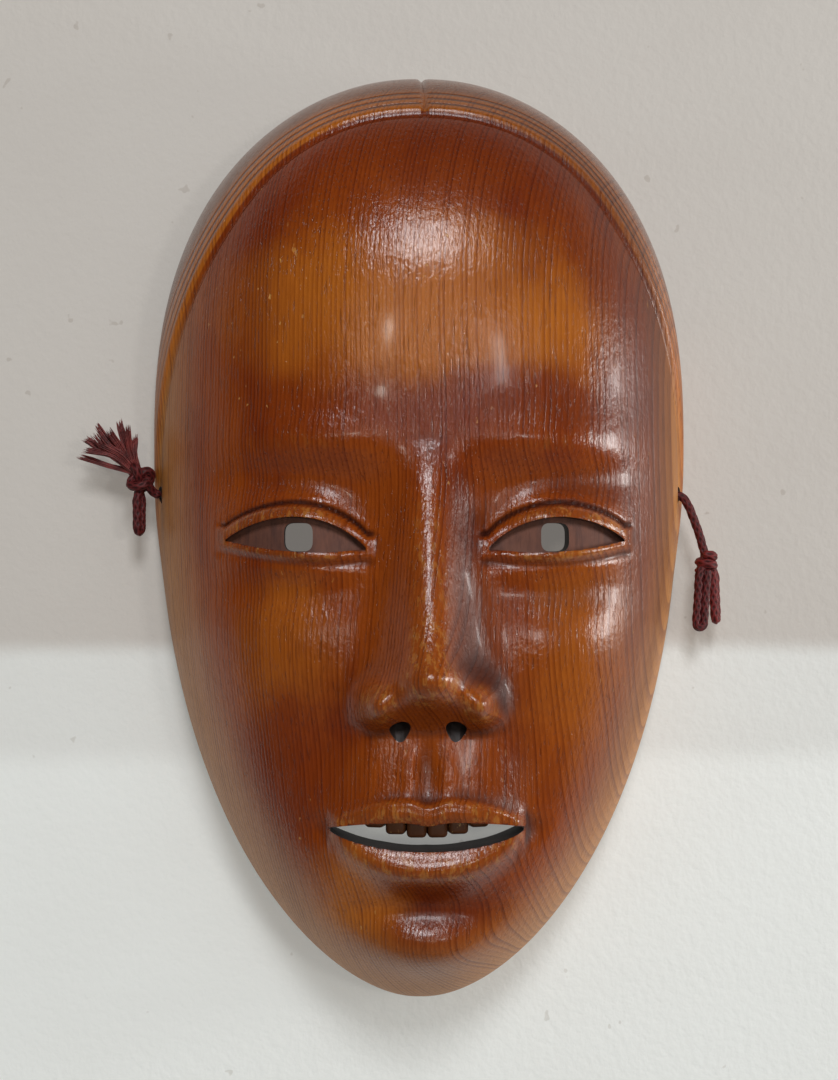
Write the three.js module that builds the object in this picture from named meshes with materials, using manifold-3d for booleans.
// A carved and lacquered wooden noh mask, with the thin silk cord that it hangs from.
//
// Millimetres. +Z is up, the face looks towards -Y, and +X is on the right as the face is seen from
// the front. The flat rim at the back lies in the plane y = 0. The origin is on that plane, in the
// middle of the mask's width, level with the two cord holes.
//
// The carving is described in its own heights, counted from half way up the mask, and it is lowered
// by CORD_HOLE.height when it is finished.

import * as THREE from "three";
import { mergeGeometries, mergeVertices } from "three/addons/utils/BufferGeometryUtils.js";
import Module from "manifold-3d";

const wasm = await Module();
wasm.setup();

const { clamp, degToRad, lerp, smoothstep } = THREE.MathUtils;

// The block: its outline, its depth from back to front and the thickness of its wall.
const HALF_HEIGHT = 107.5;
const HALF_WIDTH = 62;
const WIDEST_HEIGHT = 22;
const FRONT_DEPTH = 53;
const WALL = 7;
const FRONT_WALL = 8;
const RELIEF_FADE = 0.86;

// The face, drawn on the usual proportions: eyes half way up, features spaced by eye widths.
const EYE = { x: 28.5, height: -1, halfWidth: 15.5, above: 6, below: 1.5, recess: 2.3, pupil: 3.1 };
const NOSE = { bridge: 22, tip: -33, rise: 17.2, narrow: 6.2, wide: 9.8 };
const NOSE_WINGS = [{ x: 11.2, height: -35.2, across: 4.3, up: 5.2, rise: 8.6 }];
const MOUTH = { height: -62.5, halfWidth: 21.5, upperLip: 6.3, lowerLip: 11.6 };
const TOOTH = { count: 8, pitch: 4.35, radius: 2.3, length: 8.6, setBack: 4.6 };
const NOSTRIL = { x: 6, halfWidth: 2.2, halfDepth: 2.7, length: 22 };

// Soft swellings and hollows: where each is, how far it spreads and how high it stands.
const SWELLINGS = [
  { part: "eyeball", x: 28.5, height: 0.5, across: 15.5, up: 8, rise: 3.6 },
  { part: "inner socket", x: 15.5, height: 5, across: 8, up: 9, rise: -3.6 },
  { part: "upper socket", x: 28.5, height: 13.5, across: 16, up: 4.8, rise: -2.4 },
  { part: "lower socket", x: 28.5, height: -11.5, across: 15, up: 4.5, rise: -1.2 },
  { part: "brow", x: 26, height: 21, across: 17, up: 7, rise: 2 },
  { part: "temple", x: 52, height: 30, across: 10, up: 18, rise: -1 },
  { part: "forehead", x: 0, height: 58, across: 34, up: 26, rise: 1.5 },
  { part: "cheek", x: 35, height: -24, across: 17, up: 16, rise: 3.4 },
  { part: "cheek fold", x: 21, height: -47, across: 6, up: 12, rise: -1.8 },
  { part: "mouth", x: 0, height: -60.5, across: 28, up: 22, rise: 5 },
  { part: "mouth corner", x: 23, height: -62.1, across: 3, up: 3.2, rise: -1.3 },
  { part: "under the lip", x: 0, height: -80, across: 15, up: 4.6, rise: -3.2 },
  { part: "chin", x: 0, height: -91.5, across: 17, up: 9.5, rise: 7.4 },
];

// Hollows cut further into the back of the wall, behind the nose, the mouth and the chin.
const BACK_HOLLOWS = [
  { part: "nose", x: 0, height: -28, across: 10, up: 15, rise: 9 },
  { part: "mouth", x: 0, height: -62, across: 22, up: 16, rise: 2.5 },
  { part: "chin", x: 0, height: -90, across: 14, up: 10, rise: 3 },
  { part: "eye corner", x: 15, height: 5, across: 10, up: 12, rise: -1.5 },
];

// The hair: a raised band round the forehead with a parting in the middle.
const HAIR = { rise: 0.9, startsAt: 0.85, parting: 0.8, span: 86 };

// The cord, its holes and its knots.
const CORD_HOLE = { height: 10.5, depth: 11, radius: 2, wallX: 57.5 };
const CORD_RADIUS = 1.1;
const LOOP_CORD_RADIUS = 0.9;
const LOOP_HALF_WIDTH = 1.05;
const FRAYED_RADIUS = 0.65;
const LEFT_KNOT = { x: -65.2, height: 3.4, radius: 3.5 };
const RIGHT_KNOT = { x: 67.2, height: -15.8, radius: 2.75 };
const CORD_SIDES = 8;
const CORD_STEP = 5;

// How finely the carving is cut into facets.
const OUTER_CELLS = [50, 58];
const INNER_CELLS = [20, 26];

const WOOD = { color: 0x8a3f16, roughness: 0.28, metalness: 0 };
const SILK = { color: 0x5e1a1c, roughness: 0.75, metalness: 0 };

/** A round swelling of height 1 at its middle. */
function bell(fromX, fromHeight, across, up) {
  return Math.exp(-((fromX / across) ** 2) - (fromHeight / up) ** 2);
}

/** The sum of a list of swellings at one point. Those off the middle have a twin on the other side. */
function swell(list, x, height) {
  let total = 0;
  for (const { x: centre, height: middle, across, up, rise } of list) {
    const right = bell(x - centre, height - middle, across, up);
    const left = centre === 0 ? 0 : bell(x + centre, height - middle, across, up);
    total += rise * (right + left);
  }
  return total;
}

/** How far a height lies from the widest level: 1 at the crown, -1 at the chin's lowest point. */
function level(height) {
  const reach = height > WIDEST_HEIGHT ? HALF_HEIGHT - WIDEST_HEIGHT : HALF_HEIGHT + WIDEST_HEIGHT;
  return clamp((height - WIDEST_HEIGHT) / reach, -1, 1);
}

/** Half the outline's width at a height: a round crown above a longer, narrower jaw. */
function halfWidth(height) {
  const at = level(height);
  return HALF_WIDTH * (at > 0 ? (1 - at ** 2.5) ** 0.5 : (1 - (-at) ** 2.2) ** 0.56);
}

/** The depth of the plain rounded block, without its features. */
function blockDepth(x, height) {
  const at = level(height);
  const middle = FRONT_DEPTH * (at > 0 ? (1 - at ** 4) ** 0.46 : (1 - (-at) ** 5.5) ** 0.46);
  const aside = clamp(Math.abs(x) / Math.max(halfWidth(height), 1e-6), 0, 1);
  return middle * (1 - aside ** 2.5) ** 0.5;
}

/** The nose: a ridge that widens down to its tip, with a wing on each side. */
function nose(x, height) {
  const rise = clamp((NOSE.bridge - height) / (NOSE.bridge - NOSE.tip), 0, 1.2);
  const under = smoothstep(height, NOSE.tip - 9, NOSE.tip + 5.5);
  const spread = lerp(NOSE.narrow, NOSE.wide, clamp((14 - height) / 46, 0, 1) ** 1.3);
  const ridge = NOSE.rise * rise ** 1.12 * under * Math.exp(-((Math.abs(x) / spread) ** 2.3));
  const wingBase = smoothstep(height, NOSE.tip - 9.5, NOSE.tip - 4.5);
  return ridge + swell(NOSE_WINGS, x, height) * wingBase + 1.9 * bell(x, height - NOSE.tip - 0.5, 7.5, 7);
}

/** The heights of the lips' four edges at a distance x from the middle. */
function lipEdges(x) {
  const closing = Math.max(1 - (x / MOUTH.halfWidth) ** 2, 0);
  const lower = Math.max(1 - (x / (0.9 * MOUTH.halfWidth)) ** 2, 0);
  const bow = 1.6 * Math.exp(-((x / 3.2) ** 2));
  return {
    closing,
    top: MOUTH.height + 0.9 + MOUTH.upperLip * closing ** 0.9 - bow,
    upperEdge: MOUTH.height + 0.6 + 2 * closing ** 0.8 - bow / 2,
    lowerEdge: MOUTH.height + 0.4 - 4.4 * closing ** 0.8,
    bottom: MOUTH.height - 1 - MOUTH.lowerLip * lower ** 0.7,
  };
}

/** The lips: two rounded rolls above and below the opening. */
function lips(x, height) {
  const { closing, top, upperEdge, lowerEdge, bottom } = lipEdges(x);
  const upper = 2.3 * Math.exp(-(((height - (top + upperEdge) / 2) / 2.9) ** 2));
  const lower = 3.8 * Math.exp(-(((height - lerp(lowerEdge, bottom, 0.55)) / 3.9) ** 2));
  return closing ** 0.5 * (upper + lower);
}

/** The depth of the carved face. Its relief fades out before the rim, so that the rim stays plain. */
function faceDepth(x, height) {
  const at = level(height);
  const aside = x / Math.max(halfWidth(height), 1e-6);
  const outward = Math.sqrt(clamp(aside ** 2 * (1 - at ** 2) + at ** 2, 0, 1));
  const relief = swell(SWELLINGS, x, height) + nose(x, height) + lips(x, height);
  return blockDepth(x, height) + relief * (1 - smoothstep(outward, RELIEF_FADE, 1));
}

/** The depth of the hollow behind the face. */
function hollowDepth(x, height) {
  const shrink = (FRONT_DEPTH - FRONT_WALL) / FRONT_DEPTH;
  const across = HALF_WIDTH / (HALF_WIDTH - WALL);
  const up = HALF_HEIGHT / (HALF_HEIGHT - WALL);
  return blockDepth(x * across, height * up) * shrink + swell(BACK_HOLLOWS, x, height);
}

/** A square's point (a, b) spread over the mask's outline, with its distance out and its bearing. */
function overOutline(a, b) {
  const u = a * Math.sqrt(1 - (b * b) / 2);
  const v = b * Math.sqrt(1 - (a * a) / 2);
  const bearing = Math.atan2(u, v);
  const outward = Math.sin((Math.min(Math.hypot(u, v), 1) * Math.PI) / 2);
  const rise = outward * Math.cos(bearing);
  const reach = rise > 0 ? HALF_HEIGHT - WIDEST_HEIGHT : HALF_HEIGHT + WIDEST_HEIGHT;
  const height = WIDEST_HEIGHT + rise * reach;
  const across = (outward * Math.sin(bearing)) / Math.sqrt(Math.max(1 - rise * rise, 1e-9));
  return { x: across * halfWidth(height), height, outward, bearing };
}

/** How far the hair stands off the head, along the head's own normal. */
function hairRise({ x, outward, bearing }) {
  const round = Math.abs(bearing);
  const hairline = HAIR.startsAt + 0.02 * smoothstep(round, 0, 0.8) + 0.13 * smoothstep(round, 0.75, 1.85);
  const notch = 1 - 0.85 * Math.exp(-((x / HAIR.parting) ** 2));
  return HAIR.rise * smoothstep((outward - hairline) * HAIR.span, -0.5, 0.6) * notch;
}

/** The outward normal of the plain block under a square's point (a, b). */
function blockNormal(a, b) {
  const nudge = 1e-3;
  const inA = clamp(a, -1 + 2 * nudge, 1 - 2 * nudge);
  const inB = clamp(b, -1 + 2 * nudge, 1 - 2 * nudge);
  const point = (p, q) => {
    const { x, height } = overOutline(p, q);
    return new THREE.Vector3(x, -blockDepth(x, height), height);
  };
  const alongA = point(inA + nudge, inB).sub(point(inA - nudge, inB));
  const alongB = point(inA, inB + nudge).sub(point(inA, inB - nudge));
  return alongA.cross(alongB).normalize();
}

/** A point of the outer surface. */
function outerPoint(a, b) {
  const at = overOutline(a, b);
  const onRim = at.outward > 0.9999;
  const normal = blockNormal(a, b);
  if (onRim) normal.setY(0).normalize();
  const point = new THREE.Vector3(at.x, onRim ? 0 : -faceDepth(at.x, at.height), at.height);
  return point.addScaledVector(normal, hairRise(at));
}

/** A point of the hollow's surface, whose edge passes behind the rim so that it cuts clean through. */
function innerPoint(a, b) {
  const { x, height, outward } = overOutline(a, b);
  const inX = (x * (HALF_WIDTH - WALL)) / HALF_WIDTH;
  const inHeight = (height * (HALF_HEIGHT - WALL)) / HALF_HEIGHT;
  return new THREE.Vector3(inX, outward > 0.9999 ? 2 : -hollowDepth(inX, inHeight), inHeight);
}

/** Values from -1 to 1, closer together where the density is high. */
function crowded(count, density) {
  const fine = 400;
  const sums = [0];
  for (let i = 0; i < fine; i++) {
    sums.push(sums[i] + density(((i + 0.5) / fine) * 2 - 1));
  }
  const values = [];
  for (let k = 0, i = 0; k <= count; k++) {
    const goal = (sums[fine] * k) / count;
    while (i < fine - 1 && sums[i + 1] < goal) i++;
    values.push(((i + (goal - sums[i]) / (sums[i + 1] - sums[i])) / fine) * 2 - 1);
  }
  return values;
}

/** A closed dome: a grid of cells shaped by a function, and a flat fan across its edge. */
function dome([columns, rows], shape) {
  const height = (b) => overOutline(0, b).height;
  const across = (a) => Math.abs(overOutline(a, 0).x);
  const as = crowded(columns, (a) => {
    return 1 + 1.3 * bell(across(a) - EYE.x, 0, 16, 1) + 0.8 * bell(across(a), 0, 14, 1);
  });
  const bs = crowded(rows, (b) => {
    const eyes = 2.2 * bell(height(b) - 2, 0, 13, 1);
    const noseBase = 2.6 * bell(height(b) - NOSE.tip + 3, 0, 8, 1);
    return 1 + eyes + noseBase + 2.2 * bell(height(b) - MOUTH.height + 2, 0, 15, 1);
  });
  const sheet = new THREE.PlaneGeometry(2, 2, columns, rows);
  const places = sheet.attributes.position;
  for (let row = 0; row <= rows; row++) {
    for (let column = 0; column <= columns; column++) {
      const point = shape(as[column], bs[rows - row]);
      places.setXYZ(row * (columns + 1) + column, point.x, point.y, point.z);
    }
  }
  const edge = [];
  for (let column = 0; column < columns; column++) edge.push(column);
  for (let row = 0; row < rows; row++) edge.push(row * (columns + 1) + columns);
  for (let column = columns; column > 0; column--) edge.push(rows * (columns + 1) + column);
  for (let row = rows; row > 0; row--) edge.push(row * (columns + 1));
  const fan = new THREE.CircleGeometry(1, edge.length);
  fan.attributes.position.setXYZ(0, 0, places.getY(0), WIDEST_HEIGHT);
  for (let i = 0; i <= edge.length; i++) {
    const from = edge[i % edge.length];
    fan.attributes.position.setXYZ(i + 1, places.getX(from), places.getY(from), places.getZ(from));
  }
  return solid(mergeGeometries([sheet, fan]));
}

/** A closed three.js geometry as a solid that can be joined and cut. */
function solid(geometry) {
  const bare = geometry.clone();
  bare.deleteAttribute("normal");
  bare.deleteAttribute("uv");
  const welded = mergeVertices(bare, 1e-4);
  const vertProperties = new Float32Array(welded.attributes.position.array);
  const triVerts = new Uint32Array(welded.index.array);
  return new wasm.Manifold(new wasm.Mesh({ numProp: 3, vertProperties, triVerts }));
}

/** A solid as a three.js geometry again. */
function geometryOf(body) {
  const { vertProperties, triVerts } = body.getMesh();
  const geometry = new THREE.BufferGeometry();
  geometry.setAttribute("position", new THREE.BufferAttribute(new Float32Array(vertProperties), 3));
  geometry.setIndex(new THREE.BufferAttribute(new Uint32Array(triVerts), 1));
  geometry.computeVertexNormals();
  return geometry;
}

/** A cutter between two curves, from the front of the mask back to a depth given for each point. */
function slotCutter(cells, xAt, lowerAt, upperAt, depthAt) {
  const block = new THREE.BoxGeometry(2, 2, 2, cells, 1, 4);
  const places = block.attributes.position;
  for (let i = 0; i < places.count; i++) {
    const along = places.getX(i);
    const height = lerp(lowerAt(along), upperAt(along), (places.getZ(i) + 1) / 2);
    const x = xAt(along);
    places.setXYZ(i, x, places.getY(i) < 0 ? -FRONT_DEPTH - 25 : -depthAt(x, height), height);
  }
  return block;
}

/** The recess between the lids of one eye. Its floor keeps the eyeball's curve. */
function eyeRecess() {
  const middle = (t) => EYE.height + 0.9 * t;
  const closing = (t) => Math.max(1 - t * t, 0);
  const upper = (t) => middle(t) + Math.max(EYE.above * closing(t) ** 0.85 * (1 - 0.12 * t), 0.2);
  const lower = (t) => middle(t) - Math.max(EYE.below * closing(t), 0.2);
  const floor = (x, height) => {
    return faceDepth(x, height) - EYE.recess - 0.5 * bell(x - EYE.x, 0, 9, 1);
  };
  return slotCutter(24, (t) => EYE.x + 0.985 * EYE.halfWidth * t, lower, upper, floor);
}

/** A square hole with round corners, through the middle of one eye. */
function pupilHole() {
  const outline = [];
  for (let i = 0; i < 20; i++) {
    const angle = (i / 20) * 2 * Math.PI;
    const corner = (value) => EYE.pupil * Math.sign(value) * Math.abs(value) ** 0.55;
    outline.push(new THREE.Vector2(corner(Math.cos(angle)), corner(Math.sin(angle))));
  }
  const hole = new THREE.ExtrudeGeometry(new THREE.Shape(outline), { depth: 60, bevelEnabled: false });
  return hole.rotateX(Math.PI / 2).translate(EYE.x - 0.8, -20, EYE.height + 1.6);
}

/** The opening between the lips, right through the wall. */
function mouthOpening() {
  const xAt = (t) => 0.97 * MOUTH.halfWidth * t;
  const upper = (t) => Math.max(lipEdges(xAt(t)).upperEdge, MOUTH.height + 0.65);
  const lower = (t) => Math.min(lipEdges(xAt(t)).lowerEdge, MOUTH.height + 0.35);
  return slotCutter(28, xAt, lower, upper, () => 20);
}

/** One nostril, sloping up and back into the hollow of the nose. */
function nostril() {
  const hole = new THREE.CylinderGeometry(1, 1, NOSTRIL.length, 16);
  hole.rotateX(Math.PI / 2).scale(NOSTRIL.halfWidth, NOSTRIL.halfDepth, 1);
  hole.rotateX(degToRad(-38)).rotateY(degToRad(-8)).rotateZ(degToRad(-18));
  return hole.translate(NOSTRIL.x, -FRONT_DEPTH - 3, NOSE.tip - 7);
}

/** One upper tooth, rounded in front, hanging behind the lip a given distance from the middle. */
function tooth(x) {
  const peg = new THREE.CylinderGeometry(TOOTH.radius, TOOTH.radius - 0.4, TOOTH.length, 12);
  const depth = blockDepth(x, MOUTH.height) + 5 * bell(x, 0, 28, 1) - TOOTH.setBack;
  peg.rotateX(Math.PI / 2).rotateZ(Math.atan(x / 38));
  return peg.translate(x, TOOTH.radius - depth, MOUTH.height + 2.6 + 0.018 * x * x);
}

/** The hole in the side wall that the cord passes through. */
function cordHole() {
  const hole = new THREE.CylinderGeometry(CORD_HOLE.radius, CORD_HOLE.radius, 20, 24);
  return hole.rotateZ(Math.PI / 2).translate(HALF_WIDTH - 4, -CORD_HOLE.depth, CORD_HOLE.height);
}

/** The same geometry on the other side of the middle. Its faces are turned round to point out again. */
function mirrored(geometry) {
  const flipped = geometry.clone().scale(-1, 1, 1);
  const twin = flipped.index ? flipped.toNonIndexed() : flipped;
  const places = twin.attributes.position;
  for (let i = 0; i < places.count; i += 3) {
    const [x, y, z] = [places.getX(i), places.getY(i), places.getZ(i)];
    places.setXYZ(i, places.getX(i + 1), places.getY(i + 1), places.getZ(i + 1));
    places.setXYZ(i + 1, x, y, z);
  }
  return twin;
}

/** The mask: one carved block, hollow behind, with its eyes, nostrils, mouth and cord holes cut. */
function maskShell() {
  let body = dome(OUTER_CELLS, outerPoint).subtract(dome(INNER_CELLS, innerPoint));
  body = body.subtract(solid(mouthOpening()));
  for (let i = 0; i < TOOTH.count; i++) {
    body = body.add(solid(tooth((i + 0.5 - TOOTH.count / 2) * TOOTH.pitch)));
  }
  for (const cut of [eyeRecess(), pupilHole(), nostril(), cordHole()]) {
    body = body.subtract(solid(cut)).subtract(solid(mirrored(cut)));
  }
  return geometryOf(body).translate(0, 0, -CORD_HOLE.height);
}

/** A closed cord of round section along a list of points, which may get thinner at its far end. */
function cord(points, radius) {
  const path = new THREE.CatmullRomCurve3(points.map(([x, y, z]) => new THREE.Vector3(x, y, z)));
  const section = new THREE.Shape();
  for (let i = 0; i < CORD_SIDES; i++) {
    const angle = (i / CORD_SIDES) * 2 * Math.PI;
    const corner = [radius * Math.cos(angle), radius * Math.sin(angle)];
    if (i === 0) section.moveTo(...corner);
    else section.lineTo(...corner);
  }
  const steps = Math.max(Math.ceil(path.getLength() / CORD_STEP), 4);
  return new THREE.ExtrudeGeometry(section, { steps, extrudePath: path, bevelEnabled: false });
}

/** A knot drawn tight: crossing turns of cord round a full middle. */
function knot(radius, turns) {
  let body = solid(new THREE.SphereGeometry(radius * 0.86, 14, 10));
  for (const [tiltX, tiltY] of turns) {
    const turn = new THREE.TorusGeometry(radius - CORD_RADIUS, CORD_RADIUS, 8, 16);
    body = body.add(solid(turn.rotateX(degToRad(tiltX)).rotateY(degToRad(tiltY))));
  }
  return geometryOf(body);
}

/** The frayed end of the cord: thick strands that fan out from the knot to these tips. */
function tuft() {
  const tips = [
    [-11.4, 1, 1.7], [-9.8, -1.6, 6], [-7, 1.4, 8.7], [-4.5, -1.2, 8.4], [-1.6, 1.2, 9.9], [0.8, -1, 9.6],
  ];
  let body = solid(new THREE.SphereGeometry(1.9, 10, 8));
  for (const [x, y, z] of tips) {
    const bow = [x * 0.45 - z * 0.1, y * 0.4, z * 0.45 + 0.9];
    body = body.add(solid(cord([[0, 0, 0], bow, [x, y, z]], FRAYED_RADIUS)));
  }
  return geometryOf(body);
}

/** One named sub-part, in its colour, at its place. */
function piece(name, geometry, material, [x, y, z] = [0, 0, 0]) {
  const mesh = new THREE.Mesh(geometry, new THREE.MeshStandardMaterial(material));
  mesh.name = name;
  mesh.position.set(x, y, z);
  return mesh;
}

/** The stretch of cord that hangs across the hollow, from the left knot into the right-hand hole. */
const HANGING_CORD = [
  [-60.6, 0, 0], [-57, 0, 0], [-53, 0, -0.1], [-49.5, 0, -2], [-46, 0, -7], [-41, 0, -13.5],
  [-33, 0, -20], [-22, 0, -25.5], [-10, 0, -28.6], [0, 0, -29.5], [10, 0, -28.6], [22, 0, -25.5],
  [33, 0, -20], [41, 0, -13.5], [46, 0, -7], [49.5, 0, -2], [53, 0, -0.1], [57.2, 0, 0],
];

/** The stretch that comes out of the right-hand hole and slants down to the knot. */
const RIGHT_TAIL = [
  [57.6, 0, 0], [59.8, 0, 0], [61.5, 0, -0.4], [63, 0, -2.5], [64.3, 0, -5.7], [65.5, 0, -9],
  [66.4, 0, -12.2],
];

/** A narrow loop of cord below a knot, turned by an angle, whose lower end is set aside by a distance. */
function loop(length, turned, aside) {
  const bend = LOOP_HALF_WIDTH * 0.7;
  const profile = [
    [-0.98, 0], [-LOOP_HALF_WIDTH, 0.3 * length], [-LOOP_HALF_WIDTH, 0.65 * length],
    [-LOOP_HALF_WIDTH, length - 1.3], [-bend, length - 0.45], [0, length - 0.1], [bend, length - 0.45],
    [LOOP_HALF_WIDTH, length - 1.3], [LOOP_HALF_WIDTH, 0.65 * length], [LOOP_HALF_WIDTH, 0.3 * length],
    [0.98, 0],
  ];
  const turn = degToRad(turned);
  return profile.map(([across, down]) => [
    across * Math.cos(turn) + (aside * down) / length, across * Math.sin(turn), -down,
  ]);
}

const mask = new THREE.Group();
mask.add(piece("mask_shell", maskShell(), WOOD));

const cords = new THREE.Group();
cords.position.y = -CORD_HOLE.depth;
const leftKnot = [LEFT_KNOT.x, 0, LEFT_KNOT.height];
const rightKnot = [RIGHT_KNOT.x, 0, RIGHT_KNOT.height];
cords.add(
  piece("hanging_cord", cord(HANGING_CORD, CORD_RADIUS), SILK),
  piece("left_knot", knot(LEFT_KNOT.radius, [[0, 90], [62, 30], [-58, 10]]), SILK, leftKnot),
  piece("left_tuft", tuft(), SILK, [LEFT_KNOT.x - 3.6, 0, LEFT_KNOT.height + 4.3]),
  piece("left_loop", cord(loop(7.5, 62, 0), LOOP_CORD_RADIUS), SILK, [LEFT_KNOT.x - 0.4, 0, -1.2]),
  piece("right_tail", cord(RIGHT_TAIL, CORD_RADIUS), SILK),
  piece("right_knot", knot(RIGHT_KNOT.radius, [[90, 0], [28, 20], [-34, 14]]), SILK, rightKnot),
  piece("front_loop", cord(loop(12.2, 8, -0.8), LOOP_CORD_RADIUS), SILK, [66.3, -1.1, -18.9]),
  piece("side_loop", cord(loop(10.8, 66, 0.5), LOOP_CORD_RADIUS), SILK, [69.3, 1.7, -18.7]),
);
mask.add(cords);

export default mask;
